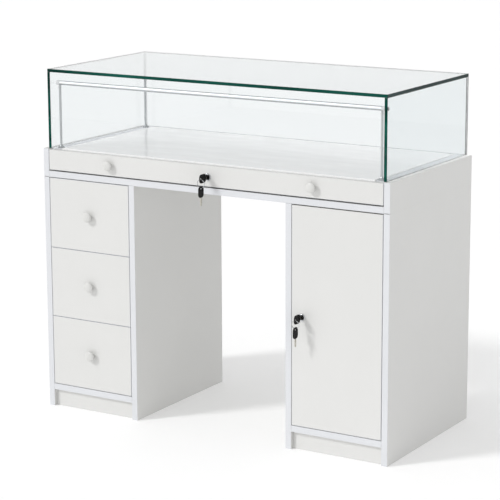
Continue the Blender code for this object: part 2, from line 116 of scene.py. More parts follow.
# Posts
POST_SLIM = 1 / 3  # radius of the post over the radius of its foot
FOOT_HEIGHT = 0.011
FOOT_BRIM = 0.0012
FOOT_ARRIS = 0.0004
POST_CHAMFER_SHARE = 0.15
FLARE_STEPS = 12
FLARE_POWER = 2.6
BEAD_RADIUS = 0.0006  # the ring-shaped bead near the top
BEAD_SINK = 0.0001
BEAD_DROP = 0.006

# Knobs, as shares of the cap's radius or the knob's reach
TURNED_STEPS = 64
KNOB_NECK_SHARE = 0.4
KNOB_BASE_SHARE = 1.45  # of the neck's radius
KNOB_RIM_SHARE = 0.66
KNOB_FALL_SHARE = 0.22  # how far the underside falls away from the rim
KNOB_WAIST = ((1.0, 0.26), (1.04, 0.18), (1.2, 0.10))  # of the neck's radius and of the reach
KNOB_BASE_HEIGHT = 0.05
KNOB_ARRIS = 0.0002

# Locks
COLLAR_LENGTH = 0.003
COLLAR_ROUND = 0.0014
BARREL_SHARE = 0.84  # barrel radius over collar radius
PLUG_BORE = 0.0061
LOCK_CHAMFER = 0.0006
PLUG_CHAMFER = 0.0004
KEYWAY_HALF_WIDTH = 0.0016
KEYWAY_HALF_HEIGHT = 0.0035
KEYWAY_SPARE = 0.0004  # depth beyond the blade's tip
NUT_RADIUS = 0.0112
NUT_LENGTH = 0.003
NUT_ARRIS = 0.0003
NUT_BORE_PLAY = 0.0001
CAM_THICKNESS = 0.002
CAM_HALF_WIDTH = 0.0055
CAM_EYE_EXTRA = 0.0009  # the eye round the plug is this much wider
CAM_TIP_SHARE = 0.6  # radius of the tip over the cam's half width
CAM_BORE_PLAY = 0.00005
CAM_ARRIS = 0.0002

# Keys
KEY_NECK = 0.006
KEY_BOW_ROUND = 0.008
KEY_BOW_EDGE = 0.0004
KEY_RIM = 0.0022  # width of the raised rim round the bow
KEY_PANEL_SINK = 0.0004
KEY_HOLE_RADIUS = 0.0026
KEY_HOLE_INSET = 0.006
BLADE_HALF_WIDTH = 0.0031
BLADE_SHARE = 0.82  # blade thickness over bow thickness
BLADE_EDGE = 0.00015
CUT_DEPTH = 0.0014  # of the deepest cut in a blade
CUTS = (0.9, 0.3, 0.7, 0.2, 0.8, 0.5)
CUT_PITCH_SHARE = 1 / 7  # of the blade's depth
GROOVES = ((-1, 0.0006), (1, -0.0009))  # side of the blade and offset across it
GROOVE_HALF_WIDTH = 0.0005
GROOVE_HALF_DEPTH = 0.0003
GROOVE_END = 0.0024  # distance from the bow
RING_RADIUS = 0.010
RING_WIRE = 0.00055
RING_TURNS = 2.0
RING_STEPS = 72
RING_START = math.radians(35)

# Screws, hinges, slides, pins and strike
SCREW_RADIUS = 0.0034
TURNED_SMALL = 32  # steps of a small turned piece
PRESSED_METAL = 0.0012
PRESSED_ROUND = 0.0008
CUP_RIM = 0.003  # the cup's flange stands this far out of its bore
PRESSED_ARRIS = 0.0003
EAR = (0.006, 0.0055)  # half sizes of a fixing ear beside the cup
EAR_ROUND = 0.004
EAR_GAP = 0.0045  # from the flange to the middle of the ear
ARM_PLATE = 0.002
ARM_METAL = 0.0013
ARM_CHANNEL_SHARE = 0.72  # half width of the channel over that of its plate
ARM_LENGTH_SHARE = 0.78
ARM_PLATE_EDGE = 0.0004
ARM_SCREWS = (-0.12, 0.08)  # along the arm, as shares of its length
ARM_SCREW_SINK = 0.0006
SLIDE_METAL = 0.0012
SLIDE_PLAY = 0.0045  # the crown stays this far inside the channel, and reaches this far in
SLIDE_CROWN_SHARE = 0.55
SLIDE_SHORT = 0.004  # it ends this far short of the channel
SLIDE_GAP = 0.0001  # between it and the drawer box
PIN_PLACE = 0.05  # from the shelf's front and back edges
PIN_DROP = 0.0052
PIN_PROFILE = ((0.0, 0.010), (0.0020, 0.010), (0.0025, 0.0095), (0.0025, 0.0016), (0.0045, 0.0014),
               (0.0048, 0.0011), (0.0048, FIT), (0.0, FIT))
STRIKE_METAL = 0.0015
STRIKE_ARRIS = 0.0002
STRIKE_HEIGHT = 0.030
STRIKE_FLANGE = 0.022
STRIKE_REACH_SHARE = 0.33  # of the way from the side panel to the lock
STRIKE_SETBACK = 0.0025  # in front of the cam
STRIKE_SCREW_BACK = 0.0125  # behind the cam
STRIKE_SCREW_SHARE = 0.28  # above and below the lock, of the plate's height

# Noise
DRIFT = (0.3, 0.7)  # most of a noise lies between these values
SPECKLE = (0.35, 0.65)
EVEN = (1.0, 1.0, 1.0)  # not stretched
ALONG_X = (0.02, 1.0, 1.0)  # grain drawn out along X
ALONG_Y = (1.0, 0.02, 1.0)
ALONG_Z = (1.0, 1.0, 0.02)

# Axis of each face of a box, and whether it is on its low or its high side
FACES = {"front": (1, 0), "back": (1, 1), "left": (0, 0), "right": (0, 1), "bottom": (2, 0), "top": (2, 1)}


# Node materials

def new_material(name, colour, roughness, **sockets):
    """A material whose even values sit on its shader. Other sockets go by name, _ for a space."""
    material = bpy.data.materials.new(name)
    material.use_nodes = True
    shader = material.node_tree.nodes["Principled BSDF"]
    shader.inputs["Base Color"].default_value = (*colour, 1.0)
    shader.inputs["Roughness"].default_value = roughness
    for socket, value in sockets.items():
        shader.inputs[socket.replace("_", " ")].default_value = value
    return material


def parts_of(material):
    """A material's node tree and its shader."""
    tree = material.node_tree
    return tree, tree.nodes["Principled BSDF"]


def noise(tree, scale, stretch=EVEN, detail=3.0):
    """A noise in the piece's own coordinates, which move with it."""
    place = tree.nodes.new("ShaderNodeTexCoord")
    mapping = tree.nodes.new("ShaderNodeMapping")
    mapping.inputs["Scale"].default_value = stretch
    texture = tree.nodes.new("ShaderNodeTexNoise")
    texture.inputs["Scale"].default_value = scale
    texture.inputs["Detail"].default_value = detail
    tree.links.new(place.outputs["Object"], mapping.inputs["Vector"])
    tree.links.new(mapping.outputs["Vector"], texture.inputs["Vector"])
    return texture.outputs[0]


def colours_from(tree, factor, stops):
    """A colour ramp of (place, colour) stops over a factor."""
    ramp = tree.nodes.new("ShaderNodeValToRGB")
    elements = ramp.color_ramp.elements
    stops = list(stops)
    while len(elements) < len(stops):
        elements.new(0.5)
    for element, (place, colour) in zip(elements, stops):
        element.position = place
        element.color = (*colour, 1.0)
    tree.links.new(factor, ramp.inputs["Fac"])
    return ramp.outputs["Color"]


def mixed(tree, one, other):
    """A node that mixes two colours."""
    mix = tree.nodes.new("ShaderNodeMix")
    mix.data_type = "RGBA"
    tree.links.new(one, mix.inputs["A"])
    tree.links.new(other, mix.inputs["B"])
    return mix


def vary_colour(material, dark, light, scale, stretch=EVEN, fine=(0.0, 1.0)):
    """Drifts between two colours over the surface; fine is the strength and scale of a speckle."""
    tree, shader = parts_of(material)
    colour = colours_from(tree, noise(tree, scale, stretch), zip(DRIFT, (dark, light)))
    strength, fine_scale = fine
    if strength:
        shades = ((1.0 - strength,) * 3, (1.0, 1.0, 1.0))
        speckle = colours_from(tree, noise(tree, fine_scale, detail=6.0), zip(SPECKLE, shades))
        mix = mixed(tree, colour, speckle)
        mix.blend_type = "MULTIPLY"
        mix.inputs["Factor"].default_value = 1.0
        colour = mix.outputs["Result"]
    tree.links.new(colour, shader.inputs["Base Color"])


def vary_roughness(material, low, high, scale, stretch=EVEN):
    """Drifts between two roughnesses over the surface."""
    tree, shader = parts_of(material)
    spread = tree.nodes.new("ShaderNodeMapRange")
    spread.inputs["From Min"].default_value, spread.inputs["From Max"].default_value = DRIFT
    spread.inputs["To Min"].default_value = low
    spread.inputs["To Max"].default_value = high
    tree.links.new(noise(tree, scale, stretch, detail=5.0), spread.inputs["Value"])
    tree.links.new(spread.outputs["Result"], shader.inputs["Roughness"])


def roughen(material, layers):
    """Bump layers of (scale, strength, depth, stretch), from coarse to fine."""
    tree, shader = parts_of(material)
    below = None
    for scale, strength, depth, stretch in layers:
        bump = tree.nodes.new("ShaderNodeBump")
        bump.inputs["Strength"].default_value = strength
        bump.inputs["Distance"].default_value = depth
        tree.links.new(noise(tree, scale, stretch, detail=2.0), bump.inputs["Height"])
        if below:
            tree.links.new(below, bump.inputs["Normal"])
        below = bump.outputs["Normal"]
    tree.links.new(below, shader.inputs["Normal"])


def melamine():
    """Satin white melamine: a faint cloudiness, paper speckle and the press plate's fine emboss."""
    material = new_material("melamine_white", (0.71, 0.71, 0.695), 0.36, Specular_IOR_Level=0.45)
    vary_colour(material, (0.698, 0.698, 0.684), (0.722, 0.720, 0.708), 2.6, fine=(0.012, 900.0))
    vary_roughness(material, 0.31, 0.41, 34.0)
    roughen(material, [(9.0, 0.03, 0.0006, EVEN), (420.0, 0.10, 0.00006, EVEN),
                       (1500.0, 0.08, 0.00003, EVEN)])
    return material


def edge_band():
    """ABS edge banding: a cooler white than the board, with fine scraper lines along it."""
    material = new_material("edge_band_white", (0.705, 0.718, 0.742), 0.42, Specular_IOR_Level=0.4)
    vary_colour(material, (0.693, 0.706, 0.730), (0.717, 0.729, 0.754), 6.0, fine=(0.02, 1400.0))
    vary_roughness(material, 0.36, 0.50, 60.0)
    roughen(material, [(700.0, 0.10, 0.00005, ALONG_Z), (1700.0, 0.06, 0.00003, EVEN)])
    return material


def deck_gloss():
    """The display deck: smoother and glossier than the cabinet boards, with faint wipe marks."""
    material = new_material("deck_gloss_white", (0.94, 0.94, 0.935), 0.16, Coat_Weight=0.35,
                            Coat_Roughness=0.08)
    vary_colour(material, (0.930, 0.934, 0.936), (0.950, 0.950, 0.948), 3.4, fine=(0.008, 800.0))
    vary_roughness(material, 0.12, 0.24, 22.0, stretch=(0.4, 1.0, 1.0))
    roughen(material, [(6.0, 0.02, 0.0008, EVEN), (600.0, 0.04, 0.00004, EVEN)])
    return material


def drawer_board():
    """Drawer sides: matt white foil, a little yellower, with scuffs from the slides."""
    material = new_material("drawer_white", (0.82, 0.82, 0.80), 0.46)
    vary_colour(material, (0.795, 0.795, 0.775), (0.84, 0.84, 0.825), 7.0, ALONG_Y, fine=(0.03, 600.0))
    vary_roughness(material, 0.40, 0.56, 48.0, ALONG_Y)
    roughen(material, [(240.0, 0.08, 0.0001, ALONG_Y), (1100.0, 0.08, 0.00004, EVEN)])
    return material


def clear_glass():
    """Float glass, faintly blue and a little uneven."""
    material = new_material("glass_clear", (0.878, 0.905, 0.912), 0.0, Transmission_Weight=1.0, IOR=1.5)
    vary_roughness(material, 0.0, 0.025, 5.0, stretch=(1.0, 1.0, 0.35))
    return material


def glass_edge():
    """The polished edge of float glass: its own deep green tint, with painted light and shade as darker and
    brighter stretches along it.
    """
    material = new_material("glass_edge_green_painted_light", (0.004, 0.06, 0.043), 0.10, Specular_IOR_Level=0.06)
    tree, shader = parts_of(material)
    # painted light and shade: this noise lays darker and brighter stretches along the edge, a painted dark
    # core and painted highlight lines
    painted_streaks = noise(tree, 26.0, (0.12, 0.12, 1.0), detail=4.0)
    # faces turned to the front: the glass's own deep green, painted down to near black where it is shaded
    front = colours_from(tree, painted_streaks, [(0.36, (0.001, 0.026, 0.020)), (0.50, (0.003, 0.058, 0.042)),
                                         (0.68, (0.007, 0.092, 0.068))])
    # faces turned sideways: painted paler and greyer than the front ones, for the way light falls on them
    side = colours_from(tree, painted_streaks, [(0.36, (0.014, 0.026, 0.026)), (0.55, (0.034, 0.060, 0.059)),
                                        (0.72, (0.070, 0.115, 0.112))])
    # faces turned back: a painted light green that stands in for light reflected inside the glass
    rear = colours_from(tree, painted_streaks, [(0.36, (0.20, 0.32, 0.29)), (0.64, (0.34, 0.46, 0.42))])
    # painted light by the way each face turns: sideways faces get the paler colours, back faces the painted
    # light green
    faces = tree.nodes.new("ShaderNodeNewGeometry")
    split = tree.nodes.new("ShaderNodeSeparateXYZ")
    tree.links.new(faces.outputs["Normal"], split.inputs["Vector"])
    size = tree.nodes.new("ShaderNodeMath")
    size.operation = "ABSOLUTE"
    tree.links.new(split.outputs["X"], size.inputs[0])
    colour = front
    for factor, other in ((size.outputs[0], side), (split.outputs["Y"], rear)):
        mix = mixed(tree, colour, other)
        tree.links.new(factor, mix.inputs["Factor"])
        colour = mix.outputs["Result"]
    tree.links.new(colour, shader.inputs["Base Color"])
    vary_roughness(material, 0.06, 0.18, 60.0, stretch=(0.2, 0.2, 1.0))
    return material


def knob_lacquer():
    """Satin white lacquer."""
    material = new_material("knob_lacquer", (0.68, 0.68, 0.66), 0.38, Specular_IOR_Level=0.3)
    vary_colour(material, (0.665, 0.665, 0.645), (0.695, 0.695, 0.68), 60.0, fine=(0.015, 2000.0))
    vary_roughness(material, 0.34, 0.46, 180.0)
    roughen(material, [(160.0, 0.04, 0.0001, EVEN), (1300.0, 0.05, 0.00003, EVEN)])
    return material


def metal(name, dark, light, low, high, stretch, scale=260.0, bump=0.10):
    """Metal with grain, cloudy colour and uneven polish."""
    material = new_material(name, light, low, Metallic=1.0)
    vary_colour(material, dark, light, scale / 8, stretch, fine=(0.06, scale * 4))
    vary_roughness(material, low, high, scale, stretch)
    roughen(material, [(scale, bump, 0.00006, stretch), (scale * 5, bump / 2, 0.00002, EVEN)])
    return material


def tube_diffuser():
    """Frosted diffuser over the diodes, switched off: milky, with a faint drift in tone along the tube."""
    material = new_material("light_diffuser", (0.93, 0.94, 0.94), 0.22, Coat_Weight=0.4,
                            Coat_Roughness=0.12, Subsurface_Weight=0.15)
    vary_colour(material, (0.915, 0.925, 0.925), (0.945, 0.95, 0.95), 70.0, ALONG_X, fine=(0.01, 1500.0))
    roughen(material, [(900.0, 0.05, 0.00003, ALONG_X)])
    return material


def plastic(name, dark, light, roughness, scale=500.0):
    """Moulded plastic with a fine spark-eroded texture."""
    material = new_material(name, light, roughness, Specular_IOR_Level=0.12)
    vary_colour(material, dark, light, scale / 5, fine=(0.08, scale * 5))
    vary_roughness(material, roughness * 0.8, roughness * 1.2, scale / 2)
    roughen(material, [(scale * 3, 0.16, 0.00006, EVEN), (scale * 8, 0.08, 0.00003, EVEN)])
    return material


MATERIALS = {
    "melamine": melamine(),
    "band": edge_band(),
    "deck": deck_gloss(),
    "drawer": drawer_board(),
    "glass": clear_glass(),
    # open glass edges: the glass's own deep green with painted light and shade
    "edge": glass_edge(),
    "knob": knob_lacquer(),
    "steel": metal("nickel_plate", (0.52, 0.53, 0.55), (0.68, 0.69, 0.71), 0.14, 0.24, EVEN),
    "zinc": metal("zinc_plate", (0.50, 0.51, 0.53), (0.66, 0.67, 0.69), 0.24, 0.42, ALONG_Y, 160.0),
    "post": metal("satin_aluminium", (0.46, 0.48, 0.49), (0.60, 0.62, 0.63), 0.28, 0.42, ALONG_Z),
    "rail": metal("anodised_rail", (0.40, 0.42, 0.44), (0.55, 0.57, 0.58), 0.26, 0.38, ALONG_X),
    "diffuser": tube_diffuser(),
    "cap": plastic("light_cap", (0.66, 0.67, 0.68), (0.75, 0.76, 0.77), 0.4),
    "button": plastic("light_button", (0.09, 0.09, 0.09), (0.15, 0.15, 0.15), 0.5),
    "lock_face": metal("lock_face_black", (0.015, 0.015, 0.016), (0.035, 0.035, 0.037), 0.22, 0.36, EVEN),
    "bow": plastic("key_bow_black", (0.002, 0.002, 0.002), (0.008, 0.008, 0.008), 0.42),
    "blade": metal("key_blade", (0.52, 0.50, 0.44), (0.68, 0.66, 0.60), 0.20, 0.34, EVEN, 320.0),
    "pin": plastic("shelf_pin", (0.60, 0.60, 0.60), (0.72, 0.72, 0.71), 0.5),
}


# Shapes

def shape_from_curve(curve):
    """The welded mesh of a curve."""
    holder = bpy.data.objects.new("outline", curve)
    bpy.context.scene.collection.objects.link(holder)
    graph = bpy.context.evaluated_depsgraph_get()
    mesh = bpy.data.meshes.new_from_object(holder.evaluated_get(graph))
    bpy.data.objects.remove(holder, do_unlink=True)
    bpy.data.curves.remove(curve)
    shape = bmesh.new()
    shape.from_mesh(mesh)
    bpy.data.meshes.remove(mesh)
    bmesh.ops.remove_doubles(shape, verts=shape.verts, dist=WELD)
    return shape


def add_spline(curve, points, cyclic):
    """Adds a straight-sided outline of 2D or 3D points."""
    spline = curve.splines.new("POLY")
    spline.points.add(len(points) - 1)
    for point, place in zip(spline.points, points):
        point.co = (*place, 1.0) if len(place) == 3 else (*place, 0.0, 1.0)
    spline.use_cyclic_u = cyclic


def plate(outlines, thickness, edge=0.0, segments=2):
    """A flat outline in XY with its holes, centred on Z, with its rims rounded by edge."""
    curve = bpy.data.curves.new("plate", "CURVE")
    curve.dimensions = "2D"
    curve.fill_mode = "BOTH"
    curve.extrude = thickness / 2 - edge
    curve.bevel_depth = edge
    curve.bevel_resolution = segments
    curve.offset = -edge
    for outline in outlines:
        add_spline(curve, outline, True)
    return shape_from_curve(curve)


def wire(points, radius):
    """A round wire along points, closed at its ends."""
    curve = bpy.data.curves.new("wire", "CURVE")
    curve.dimensions = "3D"
    curve.bevel_depth = radius
    curve.bevel_resolution = 3
    curve.use_fill_caps = True
    add_spline(curve, points, False)
    return shape_from_curve(curve)


def block(low, high, edge=0.0, segments=3):
    """A box between two corners with rounded edges."""
    shape = bmesh.new()
    bmesh.ops.create_cube(shape, size=1.0)
    size = Vector(high) - Vector(low)
    bmesh.ops.scale(shape, vec=size, verts=shape.verts)
    bmesh.ops.translate(shape, vec=Vector(low) + size / 2, verts=shape.verts)
    if edge:
        bmesh.ops.bevel(shape, geom=shape.edges[:], offset=edge, offset_type="OFFSET",
                        segments=segments, profile=0.5, affect="EDGES")
    return shape


def turned(profile, steps=TURNED_STEPS, closed=False):
    """A shape turned round Z from its (radius, height) profile; closed makes a ring."""
    shape = bmesh.new()
    rings = []
    for radius, height in profile:
        count = steps if radius > 0 else 1
        angles = [2 * math.pi * i / steps for i in range(count)]
        rings.append([shape.verts.new((radius * math.cos(a), radius * math.sin(a), height))
                      for a in angles])
    pairs = list(zip(rings, rings[1:]))
    if closed:
        pairs.append((rings[-1], rings[0]))
    for one, other in pairs:
        for i in range(steps):
            corners = [one[i % len(one)], one[(i + 1) % len(one)],
                       other[(i + 1) % len(other)], other[i % len(other)]]
            corners = list(dict.fromkeys(corners))
            if len(corners) > 2:
                shape.faces.new(corners)
    return shape


def prism(outline, length, edge=0.0):
    """An outline in XY drawn out along Z."""
    shape = bmesh.new()
    bottom = shape.faces.new([shape.verts.new((x, y, 0.0)) for x, y in outline])
    grown = bmesh.ops.extrude_face_region(shape, geom=[bottom])
    raised = [item for item in grown["geom"] if isinstance(item, bmesh.types.BMVert)]
    bmesh.ops.translate(shape, vec=(0.0, 0.0, length), verts=raised)
    if edge:
        bmesh.ops.bevel(shape, geom=shape.edges[:], offset=edge, offset_type="OFFSET", segments=2,
                        profile=0.5, affect="EDGES")
    return shape


def arc(centre, radius, start, end, steps):
    """Points along an arc in degrees, both ends included."""
    angles = [math.radians(start + (end - start) * i / steps) for i in range(steps + 1)]
    return [(centre[0] + radius * math.cos(a), centre[1] + radius * math.sin(a)) for a in angles]


def rounded(low, high, radius):
    """The outline of a rectangle with round corners."""
    outline = []
    corners = ((high[0], low[1], -90), (high[0], high[1], 0), (low[0], high[1], 90), (low[0], low[1], 180))
    for x, y, start in corners:
        centre = (x - math.copysign(radius, x - (low[0] + high[0]) / 2),
                  y - math.copysign(radius, y - (low[1] + high[1]) / 2))
        outline += arc(centre, radius, start, start + 90, 5)
    return outline


def facing(direction, origin):
    """Stands a shape's Z axis along a direction at an origin."""
    return Matrix.Translation(origin) @ Vector(direction).to_track_quat("Z", "Y").to_matrix().to_4x4()


# Lays a shape's XY in the YZ plane and its Z along X
LENGTHWAYS = Matrix(((0, 0, 1, 0), (1, 0, 0, 0), (0, 1, 0, 0), (0, 0, 0, 1)))


class Piece:
    """One piece in the making: shapes with their materials, joined into one mesh."""

    def __init__(self, name):
        self.name = name
        self.shape = bmesh.new()
        self.materials = []

    def index(self, material):
        """The slot of a material, which is added when it is new."""
        if material not in self.materials:
            self.materials.append(material)
        return self.materials.index(material)

    def add(self, part, material, place=None, choose=None):
        """Adds a shape. choose gives a face's material where one shape has several."""
        if place:
            bmesh.ops.transform(part, matrix=place, verts=part.verts)
        bmesh.ops.recalc_face_normals(part, faces=part.faces)
        part.normal_update()
        for face in part.faces:
            face.material_index = self.index(choose(face) if choose else material)
            face.smooth = True
        mesh = bpy.data.meshes.new("part")
        part.to_mesh(mesh)
        part.free()
        self.shape.from_mesh(mesh)
        bpy.data.meshes.remove(mesh)
        return self

    def make(self, body=None, slot=None, replaces=(), sharp=SHARP):
        """Makes the object. Without a body it rides on nothing yet: a cutter or a piece to carve."""
        mesh = bpy.data.meshes.new(self.name)
        self.shape.to_mesh(mesh)
        self.shape.free()
        mesh.set_sharp_from_angle(angle=math.radians(sharp))
        for material in self.materials:
            mesh.materials.append(MATERIALS[material])
        obj = bpy.data.objects.new(self.name, mesh)
        bpy.context.scene.collection.objects.link(obj)
        if body:
            weighted = obj.modifiers.new("even_shading", "WEIGHTED_NORMAL")
            weighted.keep_sharp = True
            settle(obj, body, replaces)
        return obj


def settle(obj, body, replaces=()):
    """Puts a finished piece on its body."""
    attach(obj, body)
    if replaces:
        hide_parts(*replaces)


def carve(obj, cutters):
    """Cuts each cutter out of a piece that rides on nothing yet, and keeps the result as its mesh."""
    for cutter in cutters:
        cut = obj.modifiers.new("cut", "BOOLEAN")
        cut.operation = "DIFFERENCE"
        cut.solver = "EXACT"
        cut.object = cutter
    graph = bpy.context.evaluated_depsgraph_get()
    mesh = bpy.data.meshes.new_from_object(obj.evaluated_get(graph))
    obj.modifiers.clear()
    obj.data = mesh
    mesh.set_sharp_from_angle(angle=math.radians(SHARP))
    for cutter in cutters:
        bpy.data.objects.remove(cutter, do_unlink=True)
    weighted = obj.modifiers.new("even_shading", "WEIGHTED_NORMAL")
    weighted.keep_sharp = True
    return obj


def middle(node):
    """The middle of a CAD node's box."""
    low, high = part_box(node)
    return (low + high) / 2


# Boards

def board_piece(name, node, bands, bores=(), butts=(), proud=0.0):
    """A board with its edge banding. The core is cut back by the band's thickness at each banded edge
    and closes the fitting gap where it butts on the next board, where the banding leaves a seam."""
    low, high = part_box(node)
    low -= Vector((proud, 0.0, proud))
    high += Vector((proud, 0.0, proud))
    core = [low.copy(), high.copy()]
    for face in butts:
        axis, side = FACES[face]
        core[side][axis] += FIT if side else -FIT
    for face in bands:
        axis, side = FACES[face]
        core[side][axis] += BAND if side == 0 else -BAND
    piece = Piece(name).add(block(*core, CORE_ROUND, 1), "melamine")
    covered = []
    for face in bands:
        axis, side = FACES[face]
        strip = [low.copy(), high.copy()]
        strip[1 - side][axis] = core[side][axis]
        for other_axis, other_side in covered:
            if other_axis != axis:
                strip[other_side][other_axis] = core[other_side][other_axis]
        covered.append((axis, side))
        for butt in butts:
            butt_axis, butt_side = FACES[butt]
            strip[butt_side][butt_axis] += -BAND_SEAM if butt_side else BAND_SEAM
        piece.add(block(*strip, BAND_ROUND, 2), "band")
    obj = piece.make()
    cutters = []
    if butts:
        groove = block((low.x + SEAM_SKIN, low.y - BAND, low.z - BAND_SEAM),
                       (high.x - SEAM_SKIN, low.y + SEAM_DEPTH, low.z + BAND_SEAM))
        cutters.append(Piece(name + "_seam").add(groove, "melamine").make())
    for x, z, radius, from_y, to_y in bores:
        depth = to_y - from_y
        hole = turned([(0.0, 0.0), (radius, 0.0), (radius, depth), (0.0, depth)], BORE_SIDES)
        place = facing((0, 1, 0), (x, from_y, z))
        cutters.append(Piece(name + "_bore").add(hole, "melamine", place).make())
    return carve(obj, cutters)


def boards():
    """The carcass boards, the drawer fronts, the display front and the door."""
    banded = {
        "upper_side_left": ("front", "back"),
        "upper_side_right": ("front", "back"),
        "base_board": ("front", "back"),
        "upper_back": ("top",),
        "cupboard_shelf": ("front",),
    }
    for side in ("left", "right"):
        banded[side + "_pedestal_outer_side"] = ("front", "back")
        banded[side + "_pedestal_inner_side"] = ("front", "back")
        banded[side + "_pedestal_bottom"] = ("front",)
        banded[side + "_pedestal_plinth"] = ()
        banded[side + "_pedestal_back"] = ()
    for node, bands in banded.items():
        butts = ("bottom",) if node.startswith("upper_side") else ()
        settle(board_piece(node + "_board", node, bands, (), butts), "counter", (node,))
    all_round = ("left", "right", "bottom", "top")
    for level in ("bottom", "middle", "top"):
        node = "drawer_front_" + level
        piece = board_piece(node + "_board", node, all_round, proud=PROUD)
        settle(piece, "drawer_" + level, (node,))
    bored_front("display_front", "display_drawer", all_round, ())
    door_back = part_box("cupboard_door")[1].y
    cups = []
    for level in ("lower", "upper"):
        cup_low, cup_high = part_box("hinge_cup_" + level)
        centre = (cup_low + cup_high) / 2
        cups.append((centre.x, centre.z, CUP_BORE, cup_low.y - FIT, door_back + BAND))
    bored_front("cupboard_door", "cupboard_door", all_round, cups)


def bored_front(node, body, bands, more_bores):
    """A front with the hole for its lock and any others."""
    low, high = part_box(node)
    lock = middle(node.split("_")[0] + "_lock_housing")
    bores = [(lock.x, lock.z, LOCK_BORE, low.y - BAND, high.y + BAND)] + list(more_bores)
    settle(board_piece(node + "_board", node, bands, bores, proud=PROUD), body, (node,))


# Glass case and light

def leans(face, edge):
    """Whether a face belongs to an edge of its pane."""
    axis, side = FACES[edge]
    return (face.normal[axis] if side else -face.normal[axis]) > ARRIS_FACE


def panes():
    """Each pane is clear through its large faces and its bonded edges, and deep green with painted light
    and shade at its open edges.
    """
    open_edges = {"glass_left": ("front",), "glass_right": ("front",), "glass_back": (),
                  "glass_top": ("front", "back", "left", "right")}
    for node, edges in open_edges.items():
        low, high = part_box(node)
        piece = Piece(node + "_pane")
        piece.add(block(low, high, ARRIS, 2), "glass",
                  choose=lambda face, edges=edges: "edge" if any(
                      leans(face, edge) for edge in edges) else "glass")
        obj = piece.make("counter", "glass", (node,), sharp=GLASS_SHARP)
        obj.visible_shadow = False


def light_tube():
    """A frosted tube between an alloy cradle below and a slim spine above, with moulded end caps."""
    low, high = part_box("led_tube")
    centre = (low + high) / 2
    radius = (high.z - low.z) / 2
    inner = radius - TUBE_SHELL
    milky = inner - TUBE_SLACK
    body_low = low.x + TUBE_CAP_LENGTH
    length = high.x - low.x - 2 * TUBE_CAP_LENGTH
    start = (body_low, centre.y, centre.z)
    tube = Piece("light_diffuser")
    tube.add(turned([(0.0, 0.0), (milky, 0.0), (milky, length), (0.0, length)], TUBE_SIDES), "diffuser",
             facing((1, 0, 0), start))
    tube.make("counter", "tube_white", ("led_tube",))
    along = Matrix.Translation(start) @ LENGTHWAYS
    for name, (first, last) in (("light_cradle", CRADLE_SPAN), ("light_spine", SPINE_SPAN)):
        outline = arc((0, 0), radius, first, last, SHELL_STEPS)
        outline += arc((0, 0), inner, last, first, SHELL_STEPS)
        shell = Piece(name).add(prism(outline, length, TUBE_SHELL * SHELL_ROUND_SHARE), "rail", along)
        shell.make("counter", "post_metal")
    end = TUBE_CAP_LENGTH
    soft = radius * CAP_ROUND_SHARE
    groove = radius - CAP_GROOVE
    widths = (radius, groove, groove, radius)
    profile = [(0.0, FIT), (radius - FIT, FIT), (radius, FIT * 2)]
    profile += [(width, end * share) for width, share in zip(widths, CAP_GROOVE_PLACES)]
    profile += arc((radius - soft, end - soft), soft, 0, 90, 6) + [(0.0, end)]
    for name, x, out in (("left", body_low, -1), ("right", high.x - TUBE_CAP_LENGTH, 1)):
        cap = Piece("light_cap_" + name)
        cap.add(turned(profile), "cap", facing((out, 0, 0), (x, centre.y, centre.z)),
                choose=lambda face: "button" if abs(face.normal.x) > BUTTON_FACE else "cap")
        cap.make("counter", "tube_white")


def posts():
    """Slim posts with flared feet and a bead near the top. The front two carry the tube."""
    for node in [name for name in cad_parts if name.endswith(("post", "post_left", "post_right"))]:
        low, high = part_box(node)
        centre = (low + high) / 2
        height = high.z - low.z
        foot = (high.x - low.x) / 2
        slim = foot * POST_SLIM
        chamfer = slim * POST_CHAMFER_SHARE
        profile = [(0.0, height), (slim - chamfer, height), (slim, height - chamfer)]
        for i in range(FLARE_STEPS + 1):
            share = i / FLARE_STEPS
            profile.append((slim + (foot - slim) * share ** FLARE_POWER,
                            FOOT_HEIGHT - (FOOT_HEIGHT - FOOT_BRIM) * share))
        profile += [(foot, FOOT_ARRIS), (foot - FOOT_ARRIS, 0.0), (0.0, 0.0)]
        piece = Piece(node + "_turned")
        piece.add(turned(profile), "post", Matrix.Translation((centre.x, centre.y, low.z)))
        bead = arc((slim + BEAD_RADIUS, 0.0), BEAD_RADIUS, -90, 90, 6)
        bead += [(slim + BEAD_SINK, BEAD_RADIUS), (slim + BEAD_SINK, -BEAD_RADIUS)]
        piece.add(turned(bead, closed=True), "post",
                  Matrix.Translation((centre.x, centre.y, high.z - BEAD_DROP)))
        piece.make("counter", "post_metal", (node,))


# Knobs, locks and keys

def knob_profile(radius, reach):
    """A mushroom knob: domed cap with a soft rim, hollowed underside, slim neck and flared base."""
    neck = radius * KNOB_NECK_SHARE
    base = neck * KNOB_BASE_SHARE
    rim = reach * KNOB_RIM_SHARE
    fall = reach * KNOB_FALL_SHARE
    crown = [(radius * math.cos(a), rim + (reach - rim) * math.sin(a))
             for a in (math.radians(90 - 7.5 * i) for i in range(13))]
    crown[0] = (0.0, reach)
    under = [(neck + (radius - neck) * math.cos(a), rim - fall * math.sin(a))
             for a in (math.radians(9 * i) for i in range(1, 11))]
    waist = [(neck * width, reach * height) for width, height in KNOB_WAIST]
    foot = [(base, reach * KNOB_BASE_HEIGHT), (base, KNOB_ARRIS), (base - KNOB_ARRIS, 0.0), (0.0, 0.0)]
    return crown + under + waist + foot


